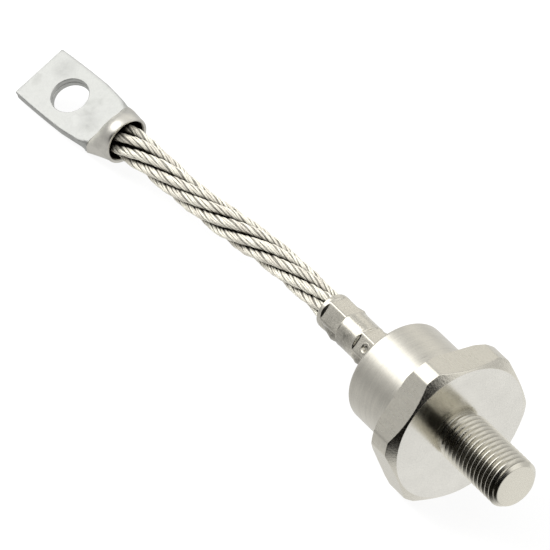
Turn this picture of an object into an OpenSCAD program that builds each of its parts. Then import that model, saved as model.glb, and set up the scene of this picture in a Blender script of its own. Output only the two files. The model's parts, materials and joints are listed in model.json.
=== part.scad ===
// Stud diode with a flexible lead: a hexagon base with a threaded stud, a welded case with a glass seal,
// a crimped ferrule, a stranded lead and a flattened tube lug. It lies as it comes to rest on a surface.
// Millimetres. The origin is the middle of the seat, and +X points along the stud, within a small tilt.

/* [Base] */

// Width of the hexagon across its flats
hex_af = 27; // [24:0.5:32]
// Height of the hexagon from the seat to the case
hex_h = 5.7; // [4:0.1:9]
// Diameter that the corners of the hexagon are turned to
corner_d = 29.7; // [28:0.1:36]
// Diameter of the flat seat inside its chamfer
seat_d = 26.4; // [22:0.1:31]
// Height of the chamfer on the seat side
seat_chamfer_h = 1.15; // [0.3:0.05:2]
// Diameter of the flat on the case side inside its chamfer
shoulder_d = 28.4; // [27:0.1:35]
// Height of the chamfer on the case side
shoulder_chamfer_h = 0.5; // [0.2:0.05:1.5]
// Diameter of the pedestal under the junction
pedestal_d = 14; // [8:0.5:16]
// Height of the pedestal above the hexagon
pedestal_h = 2.5; // [1:0.1:5]

/* [Stud] */

// Diameter of the stud over its thread
stud_d = 9.5; // [5:0.1:13]
// Length of the stud from the seat to its tip
stud_l = 16; // [8:0.5:30]
// Length of the cone at the tip
tip_l = 0.8; // [0.3:0.1:2]
// Diameter of the flat end of the tip
tip_d = 7.9; // [4:0.1:12]

/* [Case] */

// Height of the case above the hexagon
case_h = 13.3; // [11:0.1:22]
// Thickness of the case wall
case_wall = 1.2; // [0.8:0.1:2]
// Thickness of the roof of the case
roof_t = 1.2; // [0.8:0.1:2.5]
// Rounding of the rim of the roof
rim_r = 0.6; // [0.2:0.1:1]
// Gap all round between the pedestal and the weld ring
ring_gap = 0.7; // [0.2:0.1:1.2]
// Width of the weld ring
ring_w = 1.15; // [0.6:0.05:2]
// Height of the weld ring
ring_h = 1.5; // [0.5:0.1:3]

/* [Seal] */

// Outside diameter of the glass in the roof
glass_d = 12; // [9:0.1:15]
// Width of the ledge that the glass sits on
ledge_w = 0.6; // [0.3:0.1:1.5]
// Height of the ledge
ledge_h = 0.4; // [0.2:0.1:1]
// Depth of the glass below the ledge
glass_drop = 1; // [0.3:0.1:3]
// Rise of the glass above the roof
glass_rise = 0.6; // [0.2:0.1:3]
// Outside diameter of the seal tube
tube_d = 5.4; // [4.6:0.1:7]
// Outside diameter of the collar on the seal tube
collar_d = 7.1; // [6:0.1:9]
// Height of the collar
collar_h = 0.7; // [0.4:0.1:2]
// Length of the seal tube below the glass
tube_tail = 0.8; // [0:0.1:1.5]
// Length of the seal tube inside the ferrule
tube_in_ferrule = 8.5; // [4:0.1:12]

/* [Junction] */

// Diameter of the lower disc
lower_disc_d = 12; // [7:0.5:14]
// Thickness of the lower disc
lower_disc_t = 1; // [0.4:0.1:2]
// Diameter of the silicon wafer
wafer_d = 11; // [6:0.5:13]
// Thickness of the silicon wafer
wafer_t = 0.4; // [0.2:0.05:0.8]
// Diameter of the upper disc
upper_disc_d = 9; // [6:0.5:11]
// Thickness of the upper disc
upper_disc_t = 1; // [0.4:0.1:2]
// Diameter of the contact cup
cup_d = 6.2; // [5.5:0.1:8]
// Height of the contact cup
cup_h = 3.5; // [2:0.1:4]
// Thickness of the floor of the contact cup
cup_floor = 0.8; // [0.4:0.1:1.5]
// Diameter of the inner lead
inner_lead_d = 3.8; // [2:0.1:4]

/* [Ferrule] */

// Outside diameter of the ferrule
ferrule_d = 7.1; // [6.8:0.1:9]
// Length of the ferrule
ferrule_l = 17.7; // [16:0.1:26]
// Outside diameter of the lip at the mouth
lip_d = 6.2; // [6:0.1:7]
// Length of the lip at the mouth
lip_l = 1.3; // [0.4:0.1:2]
// Width of the crimps across their flats
crimp_af = 6.3; // [6.25:0.05:8]
// Length of each crimp
crimp_l = 4.4; // [2:0.1:6]
// Length of the round between the crimps
waist_l = 5.2; // [2:0.1:6]
// Turn of the crimps about the axis
crimp_turn = -30; // [-60:1:60]
// Diameter over the two fins that the crimp leaves
fin_d = 7.6; // [7:0.1:9]
// Thickness of each fin
fin_t = 0.7; // [0.3:0.1:1.5]
// Diameter of the staking dimple
dimple_d = 1.6; // [0.6:0.1:2]
// Depth of the staking dimple
dimple_h = 0.25; // [0.1:0.05:0.3]

/* [Lead] */

// Diameter of the rope lead
lead_d = 5.4; // [4.5:0.1:6.5]
// Distance from the seat to the mouth of the lug
lug_z = 96; // [92:0.1:160]
// Sideways run of the lead at the mouth of the lug
lug_y = -4.7; // [-8:0.1:8]
// Rise of the lead at the mouth of the lug
lug_x = -0.35; // [-4:0.05:4]
// Sideways bend of the lug away from the axis of the stud
lug_bend = 8; // [0:0.5:20]
// Upward bend of the lug away from the axis of the stud
lug_rise = 2; // [-4:0.5:4]
// Turn of the lug about its own axis
lug_turn = -31; // [-60:1:60]

/* [Lug] */

// Outside diameter of the lug at its mouth
mouth_d = 9.4; // [8:0.1:12]
// Wall of the tube that the lug is pressed from
lug_wall = 0.85; // [0.5:0.05:1.2]
// Length of the round edge at the mouth
mouth_l = 0.6; // [0.2:0.1:2]
// Length from the mouth to the crease of the palm
barrel_l = 5.6; // [4:0.1:9]
// Depth of the lug at the crease
crease_t = 4.1; // [3:0.1:7]
// Width of the pressed face at the crease
crease_w = 10.9; // [9:0.1:14]
// Length of the taper from the crease to the flat palm
taper_l = 6.5; // [3:0.1:8]
// Width of the pressed face of the palm
palm_w = 12.1; // [10:0.1:18]
// Length of the palm from the crease to its tip
palm_l = 19; // [15:0.1:28]
// Thickness of the palm
palm_t = 2.1; // [1.2:0.1:3]
// Rounding of the edge of the pressed face
face_r = 0.3; // [0.1:0.05:0.5]
// Swell of the folded sides beyond the edge of the pressed face
fold_swell = 0.25; // [0:0.05:0.4]
// Distance from the axis of the lug down to the top of the palm
palm_drop = 0; // [-1:0.1:2]
// Diameter of the hole in the palm
hole_d = 7.1; // [4:0.1:8.5]
// Distance from the tip of the palm to the middle of the hole
hole_to_tip = 8.8; // [6:0.1:14]

/* [Fits] */

// Gap all round between pieces that are joined by solder, crimp or fused glass
fit_gap = 0.05; // [0.02:0.01:0.1]

/* [Show] */

// Piece to show

/* [Hidden] */

$fn = 96;

// Small overrun of a cut past the face it opens
over = 0.5;
// Thickness of a slice at the end of a taper
slice = 0.02;

// Outside of the case: the pedestal, the gap and the weld ring round it, and the wall
case_d = pedestal_d + 2 * (ring_gap + ring_w + fit_gap + case_wall);

// Levels along the axis, counted from the seat
pedestal_z = hex_h + pedestal_h;
wafer_z = pedestal_z + lower_disc_t;
upper_disc_z = wafer_z + wafer_t;
cup_z = upper_disc_z + upper_disc_t;
roof_z = hex_h + case_h;
ledge_z = roof_z - roof_t + ledge_h;
collar_z = roof_z + glass_rise;
ferrule_z = collar_z + collar_h;
tube_top_z = ferrule_z + tube_in_ferrule;
ferrule_mouth_z = ferrule_z + ferrule_l;
outer_crimp_z = ferrule_mouth_z - lip_l - crimp_l;
inner_crimp_z = outer_crimp_z - waist_l - crimp_l;

// The lug: where its mouth is, and which ways its axis, its palm and its width point
lug_at = [lug_x, lug_y, lug_z];
lug_axis = [sin(lug_rise) * cos(lug_bend), -sin(lug_bend), cos(lug_rise) * cos(lug_bend)];
lug_up = [cos(lug_rise) * cos(lug_turn) + sin(lug_rise) * sin(lug_turn) * sin(lug_bend),
          sin(lug_turn) * cos(lug_bend),
          cos(lug_rise) * sin(lug_turn) * sin(lug_bend) - sin(lug_rise) * cos(lug_turn)];
lug_across = cross(lug_axis, lug_up);
tip_z = barrel_l + palm_l;
crease_mid = -palm_drop - crease_t / 2;
palm_mid = -palm_drop - palm_t / 2;

// The fold on each side of the lug is round below, with this share of the lug's depth as its radius
fold_share = 0.4;
function fold_y(w, t) = w / 2 + fold_swell - fold_share * t;

// The tilt at which the edge of a hexagon flat and one fold of the lug both touch the surface
function fold_at(side, w, t, mid, z) =
    lug_at + (mid - t / 2 + fold_share * t) * lug_up + side * fold_y(w, t) * lug_across + z * lug_axis;
function lie(c, t) = atan((hex_af / 2 + c[0] - fold_share * t) / (c[2] - hex_h));
tilt = min([for (side = [-1, 1]) each [
    lie(fold_at(side, crease_w, crease_t, crease_mid, barrel_l), crease_t),
    lie(fold_at(side, palm_w, palm_t, palm_mid, barrel_l + taper_l), palm_t),
    lie(fold_at(side, palm_w, palm_t, palm_mid, tip_z), palm_t)]]);

// The lead: the points that it runs through, and the radius at each
mouth_in = 0.8;
lead_clear = 0.15;
lead_end_r = crease_t / 2 - lug_wall - lead_clear;
lead_route = [
    [0, 0, tube_top_z], [0, 0, ferrule_mouth_z], [0, -0.1, 46], [-0.1, -0.4, 56], [-0.2, -1.2, 66],
    [-0.3, -2.3, 76], [-0.4, -3.5, 86],
    lug_at, lug_at + mouth_in * lug_axis,
    lug_at + barrel_l * lug_axis + crease_mid * lug_up
];
lead_r = [for (i = [0 : len(lead_route) - 1]) i == len(lead_route) - 1 ? lead_end_r : lead_d / 2];
lead_sides = 12;

function unit(v) = v / norm(v);
function heading(path, i) = unit(path[min(i + 1, len(path) - 1)] - path[max(i - 1, 0)]);
function loop(path, r, i, n) = [for (k = [0 : n - 1])
    path[i] + r[i] * (cos(360 * k / n) * [1, 0, 0]
        + sin(360 * k / n) * unit(cross(heading(path, i), [1, 0, 0])))];

// Tube that follows a path, with its own radius at each point
module swept_tube(path, r, n) {
    last = len(path) - 1;
    corners = [for (i = [0 : last]) each loop(path, r, i, n)];
    walls = [for (i = [0 : last - 1], k = [0 : n - 1], half = [0, 1])
        let (a = i * n + k, b = i * n + (k + 1) % n)
        half == 0 ? [a, a + n, b + n] : [a, b + n, b]];
    first_end = [for (k = [0 : n - 1]) k];
    last_end = [for (k = [n - 1 : -1 : 0]) last * n + k];
    polyhedron(corners, concat(walls, [first_end, last_end]));
}

// Turns a piece from the axis of the stud, +Z towards the lead, to how the diode lies
module lying() {
    rotate([0, -90 - tilt, 0]) children();
}

module hexagon(af, h) {
    rotate([0, 0, 30]) cylinder(d = af / cos(30), h = h, $fn = 6);
}

module disc(d, t, z) {
    translate([0, 0, z]) cylinder(d = d, h = t);
}

// Hexagon with turned corners and chamfers, the stud below it and the pedestal above it
module stud_base() {
    color([0.78, 0.77, 0.74]) lying() {
        intersection() {
            hexagon(hex_af, hex_h);
            rotate_extrude() polygon([
                [0, 0], [seat_d / 2, 0], [corner_d / 2, seat_chamfer_h],
                [corner_d / 2, hex_h - shoulder_chamfer_h], [shoulder_d / 2, hex_h], [0, hex_h]]);
        }
        rotate_extrude() polygon([
            [0, -stud_l], [tip_d / 2, -stud_l], [stud_d / 2, tip_l - stud_l],
            [stud_d / 2, over], [0, over]]);
        disc(pedestal_d, pedestal_h + over, hex_h - over);
    }
}

module weld_ring() {
    color([0.6, 0.6, 0.58]) lying() difference() {
        disc(case_d - 2 * case_wall - 2 * fit_gap, ring_h, hex_h);
        disc(pedestal_d + 2 * ring_gap, ring_h + 2 * over, hex_h - over);
    }
}

// Cap with a rounded rim and a stepped hole for the glass
module case_cap() {
    color([0.8, 0.79, 0.77]) lying() difference() {
        translate([0, 0, hex_h]) rotate_extrude() union() {
            square([case_d / 2 - rim_r, case_h]);
            square([case_d / 2, case_h - rim_r]);
            translate([case_d / 2 - rim_r, case_h - rim_r]) circle(rim_r);
        }
        disc(case_d - 2 * case_wall, case_h - roof_t + over, hex_h - over);
        disc(glass_d, roof_t, ledge_z);
        disc(glass_d - 2 * ledge_w, roof_t + 2 * over, roof_z - roof_t - over);
    }
}

// Glass ring on the ledge of the roof, with a sloped top up to the collar
module seal_glass() {
    color([0.35, 0.5, 0.45]) lying() rotate_extrude() polygon([
        [tube_d / 2 + fit_gap, ledge_z - glass_drop],
        [glass_d / 2 - ledge_w - fit_gap, ledge_z - glass_drop],
        [glass_d / 2 - ledge_w - fit_gap, ledge_z],
        [glass_d / 2 - fit_gap, ledge_z],
        [glass_d / 2 - fit_gap, roof_z],
        [collar_d / 2, collar_z],
        [tube_d / 2 + fit_gap, collar_z]]);
}

// Tube through the glass, with the collar that the ferrule sits on
module seal_tube() {
    tail_z = ledge_z - glass_drop - tube_tail;
    color([0.7, 0.68, 0.62]) lying() difference() {
        union() {
            disc(tube_d, tube_top_z - tail_z, tail_z);
            disc(collar_d, collar_h, collar_z);
        }
        disc(inner_lead_d + 2 * fit_gap, tube_top_z - tail_z + 2 * over, tail_z - over);
    }
}

module lower_disc() {
    color([0.55, 0.56, 0.6]) lying() disc(lower_disc_d, lower_disc_t, pedestal_z);
}

module silicon_wafer() {
    color([0.28, 0.29, 0.33]) lying() disc(wafer_d, wafer_t, wafer_z);
}

module upper_disc() {
    color([0.55, 0.56, 0.6]) lying() disc(upper_disc_d, upper_disc_t, upper_disc_z);
}

module contact_cup() {
    color([0.72, 0.45, 0.3]) lying() difference() {
        disc(cup_d, cup_h, cup_z);
        disc(inner_lead_d + 2 * fit_gap, cup_h, cup_z + cup_floor);
    }
}

module inner_lead() {
    color([0.75, 0.47, 0.3]) lying() disc(inner_lead_d, tube_top_z - cup_z - cup_floor, cup_z + cup_floor);
}

// Hexagonal crimp with a corner at the front and a thin fin on each side, highest next to the waist
module crimp(waist_end) {
    rotate([0, 0, 30]) hexagon(crimp_af, crimp_l);
    for (side = [0, 180]) rotate([0, 0, side + 90]) translate([0, -fin_t / 2, 0])
        translate([0, fin_t, 0]) rotate([90, 0, 0]) linear_extrude(fin_t) polygon([
            [lip_d / 2 - over, 0], [crimp_af / 2, 0], [fin_d / 2, waist_end - fin_d / 2 + crimp_af / 2],
            [fin_d / 2, waist_end], [crimp_af / 2, crimp_l], [lip_d / 2 - over, crimp_l]]);
}

// Round sleeve with two hexagonal crimps and a staking dimple in one flat
module ferrule() {
    color([0.8, 0.78, 0.74]) lying() difference() {
        union() {
            disc(lip_d, ferrule_l, ferrule_z);
            disc(ferrule_d, waist_l, outer_crimp_z - waist_l);
            disc(ferrule_d, inner_crimp_z - ferrule_z, ferrule_z);
            rotate([0, 0, crimp_turn]) {
                translate([0, 0, outer_crimp_z]) crimp(crimp_l / 2);
                translate([0, 0, inner_crimp_z]) crimp(crimp_l - fin_t);
            }
        }
        disc(tube_d + 2 * fit_gap, ferrule_l + 2 * over, ferrule_z - over);
        rotate([0, 0, crimp_turn - 30]) translate([crimp_af / 2 - dimple_h, 0, inner_crimp_z + crimp_l / 2])
            rotate([0, 90, 0]) cylinder(d = dimple_d, h = dimple_h + over);
    }
}

module lead() {
    color([0.82, 0.78, 0.7]) lying() swept_tube(lead_route, lead_r, lead_sides);
}

// Section of a tube that is pressed flat on one side, with a fold on each side: x up, y across
module pressed(w, t) {
    fold_r = fold_share * t;
    edge_r = min(face_r, t - 2 * fold_r);
    swell = w / 2 + fold_swell - fold_r;
    translate([-t / 2 + fold_r, -w / 2]) square([t - fold_r - edge_r, w]);
    translate([-t / 2, -swell]) square([2 * fold_r, 2 * swell]);
    translate([-t / 2 + fold_r, -w / 2 + edge_r]) square([t - fold_r, w - 2 * edge_r]);
    for (side = [-1, 1]) {
        translate([-t / 2 + fold_r, side * swell]) circle(fold_r);
        translate([t / 2 - edge_r, side * (w / 2 - edge_r)]) circle(edge_r);
    }
}

module pressed_slice(w, t, mid, z) {
    translate([mid, 0, z]) linear_extrude(slice) pressed(w, t, $fn = 36);
}

// Outside of the lug: a round mouth, a taper to the crease and a flat palm
module lug_outside() {
    hull() {
        cylinder(d = mouth_d, h = mouth_l);
        pressed_slice(crease_w, crease_t, crease_mid, barrel_l);
    }
    hull() {
        pressed_slice(crease_w, crease_t, crease_mid, barrel_l);
        pressed_slice(palm_w, palm_t, palm_mid, barrel_l + taper_l);
    }
    translate([palm_mid, 0, barrel_l + taper_l]) linear_extrude(palm_l - taper_l) pressed(palm_w, palm_t);
}

// Inside of the lug, one wall in from the outside
module lug_inside() {
    slot_w = crease_w - 2 * lug_wall;
    hull() {
        translate([0, 0, -over]) cylinder(d = mouth_d - 2 * lug_wall, h = mouth_l + over);
        pressed_slice(slot_w, crease_t - 2 * lug_wall, crease_mid, barrel_l);
    }
    hull() {
        pressed_slice(slot_w, crease_t - 2 * lug_wall, crease_mid, barrel_l);
        pressed_slice(slot_w, slice, palm_mid, barrel_l + taper_l - lug_wall);
    }
}

// Tube pressed flat at one end, with a hole through the palm
module lug() {
    color([0.84, 0.84, 0.82]) lying()
        translate(lug_at) rotate([lug_bend, lug_rise, 0]) rotate([0, 0, lug_turn]) difference() {
            lug_outside();
            lug_inside();
            translate([-palm_drop - palm_t - over, 0, tip_z - hole_to_tip]) rotate([0, 90, 0])
                cylinder(d = hole_d, h = palm_t + 2 * over);
        }
}

stud_base();
weld_ring();
case_cap();
seal_glass();
seal_tube();
lower_disc();
silicon_wafer();
upper_disc();
contact_cup();
inner_lead();
ferrule();
lead();
lug();
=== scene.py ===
"""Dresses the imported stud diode: threaded base, case, crimped ferrule, rope lead and pressed lug."""

import json
import logging
import math
from dataclasses import dataclass, field, replace
from enum import Enum
from typing import Iterable, Mapping, Optional, Sequence

import bmesh
import bpy
from mathutils import Matrix, Vector

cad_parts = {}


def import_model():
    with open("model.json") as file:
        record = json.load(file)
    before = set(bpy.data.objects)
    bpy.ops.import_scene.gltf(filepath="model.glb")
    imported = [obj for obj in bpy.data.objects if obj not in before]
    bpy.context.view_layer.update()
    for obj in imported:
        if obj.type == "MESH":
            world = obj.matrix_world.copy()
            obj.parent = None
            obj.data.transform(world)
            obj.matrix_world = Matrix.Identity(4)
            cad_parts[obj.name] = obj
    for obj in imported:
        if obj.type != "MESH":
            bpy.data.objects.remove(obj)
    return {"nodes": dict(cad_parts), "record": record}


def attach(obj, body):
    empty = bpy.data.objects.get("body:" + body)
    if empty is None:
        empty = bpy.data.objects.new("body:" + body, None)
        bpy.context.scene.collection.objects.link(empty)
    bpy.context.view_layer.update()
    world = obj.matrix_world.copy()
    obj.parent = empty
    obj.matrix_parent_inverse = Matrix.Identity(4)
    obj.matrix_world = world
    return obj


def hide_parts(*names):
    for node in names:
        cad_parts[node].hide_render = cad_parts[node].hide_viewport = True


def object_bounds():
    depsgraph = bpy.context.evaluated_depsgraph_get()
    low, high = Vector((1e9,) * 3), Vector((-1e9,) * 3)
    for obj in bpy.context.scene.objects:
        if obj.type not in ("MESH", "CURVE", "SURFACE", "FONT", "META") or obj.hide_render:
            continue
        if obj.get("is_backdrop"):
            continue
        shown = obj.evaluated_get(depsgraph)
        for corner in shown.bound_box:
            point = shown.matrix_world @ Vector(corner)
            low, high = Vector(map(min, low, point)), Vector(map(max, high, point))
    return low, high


LOG = logging.getLogger("stud_diode")
MM = 0.001
ROOT_SHADE_END = -15.4  # Place along the stud, in millimetres, past which the painted shade of the thread's roots stops
ROOT_SHADE_RADII = (4.2, 4.62)  # Radii between which the painted shade in the thread's roots fades out

Point = tuple[float, float]
Triple = tuple[float, float, float]
Colour = tuple[float, float, float, float]
Levels = Sequence[Point]
DarkSpot = tuple[Sequence[float], float]
Feeds = Mapping[int | str, object]
Socket = bpy.types.NodeSocket
Thing = bpy.types.Object
Mesh = bpy.types.Mesh
BMesh = bmesh.types.BMesh
BMVert = bmesh.types.BMVert
BMEdge = bmesh.types.BMEdge


class PlateSlot(Enum):
    """Material slots of the record for the new pieces; the script does not use them."""

    BASE = "base_plate"
    CASE = "case_plate"
    SLEEVE = "sleeve_plate"
    ROPE = "tinned_rope"
    LUG = "tinned_lug"


class BaseFace(Enum):
    """Number of the material that a face of the base takes."""

    TURNED = 0
    DRAWN = 1
    FACED = 2
    PITTED = 3


class LugFace(Enum):
    """Number of the material that a face of the lug takes."""

    PALM = 0
    TUBE = 1
    BORE = 2


class Lay(Enum):
    """Hand of a helix, as the sign of its turn along its axis."""

    RIGHT = 1.0
    LEFT = -1.0


def smooth_step(low: float, high: float, value: float) -> float:
    """Eases a value from 0 at low to 1 at high."""
    share = min(1.0, max(0.0, (value - low) / (high - low)))
    return share * share * (3.0 - 2.0 * share)


def soft_min(first: float, second: float, blend: float) -> float:
    """Takes the lesser of two lengths, rounded into each other where they differ by less than blend."""
    share = max(blend - abs(first - second), 0.0) / blend
    return min(first, second) - share * share * blend / 4.0


def wrapped(angle: float) -> float:
    """Brings an angle to between minus and plus half a turn."""
    return (angle + math.pi) % math.tau - math.pi


def grey(level: float) -> Colour:
    """Gives a grey colour."""
    return (level, level, level, 1.0)


@dataclass(frozen=True)
class StudAxis:
    """Where the stud's own axis lies: millimetres along it, turned to the row frame in metres."""

    tilt: float

    @classmethod
    def from_record(cls, record: dict) -> "StudAxis":
        """Reads the tilt from the stud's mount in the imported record."""
        axis = next(mount["axis"] for mount in record["mounts"] if mount["name"] == "stud")
        return cls(math.atan2(axis[2], axis[0]))

    def place(self) -> Matrix:
        """Gives the matrix from the stud's axis to the row frame."""
        return Matrix.Rotation(-math.pi / 2 - self.tilt, 4, "Y") @ Matrix.Scale(MM, 4)

    def point(self, spot: Sequence[float]) -> Vector:
        """Turns one point in millimetres along the stud to the row frame."""
        return self.place() @ Vector(spot)


@dataclass(frozen=True)
class LugSeat:
    """Where the lug sits on the stud's axis and which way it points."""

    mouth: Triple = (-0.35, -4.7, 96.0)
    bend: float = 8.0
    rise: float = 2.0
    turn: float = -31.0

    def matrix(self) -> Matrix:
        """Gives the place of the lug's own axes on the stud's axis.

        Returns:
            The matrix, in millimetres.
        """
        turns = ((self.rise, "Y"), (self.bend, "X"), (self.turn, "Z"))
        rise, bend, turn = (Matrix.Rotation(math.radians(angle), 4, axis) for angle, axis in turns)
        return Matrix.Translation(self.mouth) @ (rise @ bend @ turn)


class NodeBench:
    """Lays out the nodes of one material or of the world."""

    def __init__(self, tree: bpy.types.NodeTree) -> None:
        """Starts on the nodes that are there."""
        self.tree = tree

    def feed(self, node: bpy.types.Node, feeds: Feeds) -> None:
        """Links or sets inputs of a node.

        Args:
            node: The node.
            feeds: Sockets or plain values for its inputs, by name or number.
        """
        for key, value in feeds.items():
            if isinstance(value, Socket):
                self.tree.links.new(value, node.inputs[key])
            else:
                node.inputs[key].default_value = value

    def add(self, kind: str, feeds: Optional[Feeds] = None, **settings: object) -> bpy.types.Node:
        """Adds a node.

        Args:
            kind: Type name of the node, without the prefix that all share.
            feeds: Sockets or plain values for its inputs, by name or number.
            **settings: Values of the node's own properties.

        Returns:
            The new node.
        """
        node = self.tree.nodes.new("ShaderNode" + kind)
        for key, value in settings.items():
            setattr(node, key, value)
        self.feed(node, feeds or {})
        return node

    def math(self, operation: str, *values: object) -> Socket:
        """Adds a math node on sockets or plain values."""
        return self.add("Math", dict(enumerate(values)), operation=operation).outputs[0]

    def along_stud(self, axis: StudAxis) -> Socket:
        """Gives coordinates in millimetres with +Z along the stud's axis."""
        coords, turn = self.add("TexCoord").outputs["Object"], (0.0, math.pi / 2 + axis.tilt, 0.0)
        return self.add("Mapping", {"Vector": coords, "Rotation": turn, "Scale": (1.0 / MM,) * 3}).outputs["Vector"]

    def stretched(self, place: Socket, scale: Triple) -> Socket:
        """Scales coordinates by a factor on each axis."""
        return self.add("Mapping", {"Vector": place, "Scale": scale}).outputs["Vector"]

    def noise(self, place: Socket, scale: float, detail: float = 3.0, rough: float = 0.55) -> Socket:
        """Adds a noise pattern of so many grains per unit, about 0.5 in the middle."""
        feeds = {"Vector": place, "Scale": scale, "Detail": detail, "Roughness": rough}
        return self.add("TexNoise", feeds).outputs[0]

    def mixed(self, first: Socket, second: Socket, share: float) -> Socket:
        """Mixes two patterns, with a share of the first."""
        return self.math("ADD", self.math("MULTIPLY", first, share), self.math("MULTIPLY", second, 1.0 - share))

    def span(self, value: Socket, low: float, high: float, to_low: float, to_high: float) -> Socket:
        """Maps the range from low to high to the range from to_low to to_high."""
        feeds = {"Value": value, "From Min": low, "From Max": high, "To Min": to_low, "To Max": to_high}
        return self.add("MapRange", feeds).outputs["Result"]

    def ramp(self, value: Socket, stops: Sequence[tuple[float, Colour]], ease: str = "LINEAR") -> Socket:
        """Colours a value.

        Args:
            value: Socket of the value.
            stops: Places and colours, in order.
            ease: How one colour goes over to the next.

        Returns:
            The colour's socket.
        """
        node = self.add("ValToRGB", {"Fac": value})
        node.color_ramp.interpolation = ease
        elements = node.color_ramp.elements
        while len(elements) < len(stops):
            elements.new(0.5)
        for element, (place, colour) in zip(elements, stops):
            element.position = place
            element.color = colour
        return node.outputs["Color"]

    def blend(self, share: object, first: object, second: object, mode: str = "MIX") -> Socket:
        """Blends two colours by a share."""
        feeds = {0: share, 6: first, 7: second}
        return self.add("Mix", feeds, data_type="RGBA", blend_type=mode).outputs[2]

    def flecked(self, colour: Socket, pattern: Socket, amount: float) -> Socket:
        """Lightens and darkens a colour by a pattern, by an amount at most."""
        shades = self.ramp(pattern, [(0.3, grey(1.0 - amount)), (0.7, grey(1.0 + amount))])
        return self.blend(1.0, colour, shades, "MULTIPLY")

    def spotted(self, colour: Socket, place: Socket, dark_spots: Sequence[DarkSpot], spot_colour: Colour) -> Socket:
        """Darkens a colour unevenly round some spots.

        Args:
            colour: Socket of the colour.
            place: Socket of the coordinates, in millimetres.
            dark_spots: Middle and reach of each spot.
            spot_colour: Colour in the middle of a spot.

        Returns:
            The darkened colour's socket.
        """
        if not dark_spots:
            return colour
        mottle = self.span(self.noise(place, 1.1, 4.0), 0.35, 0.65, 0.45, 1.0)
        for spot, reach in dark_spots:
            gap = self.add("VectorMath", {0: place, 1: spot}, operation="DISTANCE").outputs["Value"]
            near = self.span(gap, 0.1 * reach, reach, 1.0, 0.0)
            colour = self.blend(self.math("MULTIPLY", near, mottle), colour, spot_colour)
        return colour

    def bump(self, height: Socket, depth: float, under: Optional[Socket] = None) -> Socket:
        """Raises the surface by a pattern of a depth in metres, over the normal of a coarser one."""
        feeds = {"Strength": 1.0, "Distance": depth, "Height": height}
        return self.add("Bump", feeds if under is None else {**feeds, "Normal": under}).outputs["Normal"]


@dataclass(frozen=True)
class Finish:
    """What all finishes share: a name, a colour and how they become a material."""

    name: str
    colour: Triple

    def shade(self, share: float) -> Colour:
        """Gives the colour, darker or lighter by a share."""
        return (*[min(1.0, part * share) for part in self.colour], 1.0)

    def tone(self, bench: NodeBench, pattern: Socket, low: Point, high: Point) -> Socket:
        """Colours a pattern between two places in it, each with its share of the colour."""
        return bench.ramp(pattern, [(place, self.shade(share)) for place, share in (low, high)])

    def paint(self, bench: NodeBench, place: Socket) -> Feeds:
        """Lays out the finish on coordinates along the stud, and gives what feeds the shader."""
        raise NotImplementedError

    def material(self, axis: StudAxis) -> bpy.types.Material:
        """Makes the material.

        Args:
            axis: The stud's axis, which the patterns follow.

        Returns:
            The new material.
        """
        material = bpy.data.materials.new(self.name)
        material.use_nodes = True
        bench = NodeBench(material.node_tree)
        shader = material.node_tree.nodes["Principled BSDF"]
        bench.feed(shader, self.paint(bench, bench.along_stud(axis)))
        return material


@dataclass(frozen=True)
class TurnedNickel(Finish):
    """Bright nickel over turned copper, with the tool's fine rings."""

    colour: Triple = (0.80, 0.768, 0.672)
    rough: float = 0.2
    ring_depth: float = 1.2e-6
    rings: float = 5.0
    grain: float = 4.0e-6
    smear: float = 0.0
    # Share of the colour left in the thread's roots as painted shade; 1 paints none
    root_shade: float = 1.0
    fleck: float = 0.05
    dark_spots: Sequence[DarkSpot] = ()

    def paint(self, bench: NodeBench, place: Socket) -> Feeds:
        """Lays out rings round the stud, clouds of wear, specks, dark spots and, where set, painted shade in the
        thread's roots.

        Args:
            bench: The material's nodes.
            place: Socket of the coordinates along the stud.

        Returns:
            What feeds the shader.
        """
        x, y, z = bench.add("SeparateXYZ", {"Vector": place}).outputs
        square = bench.math("ADD", bench.math("MULTIPLY", x, x), bench.math("MULTIPLY", y, y))
        far = bench.math("SQRT", square)
        lines = {"W": bench.math("ADD", far, z), "Scale": self.rings, "Detail": 3.0}
        rings = bench.add("TexNoise", lines, noise_dimensions="1D").outputs[0]
        cloud = bench.noise(place, 0.22, 4.0)
        speck = bench.noise(place, 3.5, 2.0)
        tone = self.tone(bench, cloud, (0.3, 0.93), (0.7, 1.04))
        tone = bench.spotted(tone, place, self.dark_spots, self.shade(0.42))
        plate = bench.flecked(tone, speck, self.fleck)
        # Painted shade: darkens the thread's roots, but not the tip's end face
        if self.root_shade < 1.0:
            bright = bench.math("LESS_THAN", z, ROOT_SHADE_END)
            bright = bench.math("MAXIMUM", bright, bench.span(far, *ROOT_SHADE_RADII, self.root_shade, 1.0))
            plate = bench.blend(1.0, plate, bright, "MULTIPLY")
        wear = bench.math("ADD", bench.span(rings, 0.3, 0.7, -0.25, 0.25), bench.span(cloud, 0.3, 0.7, -0.3, 0.3))
        feeds = {
            "Base Color": plate,
            "Metallic": 1.0,
            "Roughness": bench.math("MULTIPLY_ADD", wear, self.rough, self.rough),
            "Normal": bench.bump(rings, self.ring_depth, bench.bump(speck, self.grain)),
        }
        if self.smear > 0.0:
            feeds |= {"Anisotropic": self.smear, "Tangent": bench.add("TexCoord").outputs["Object"]}
        return feeds


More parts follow.
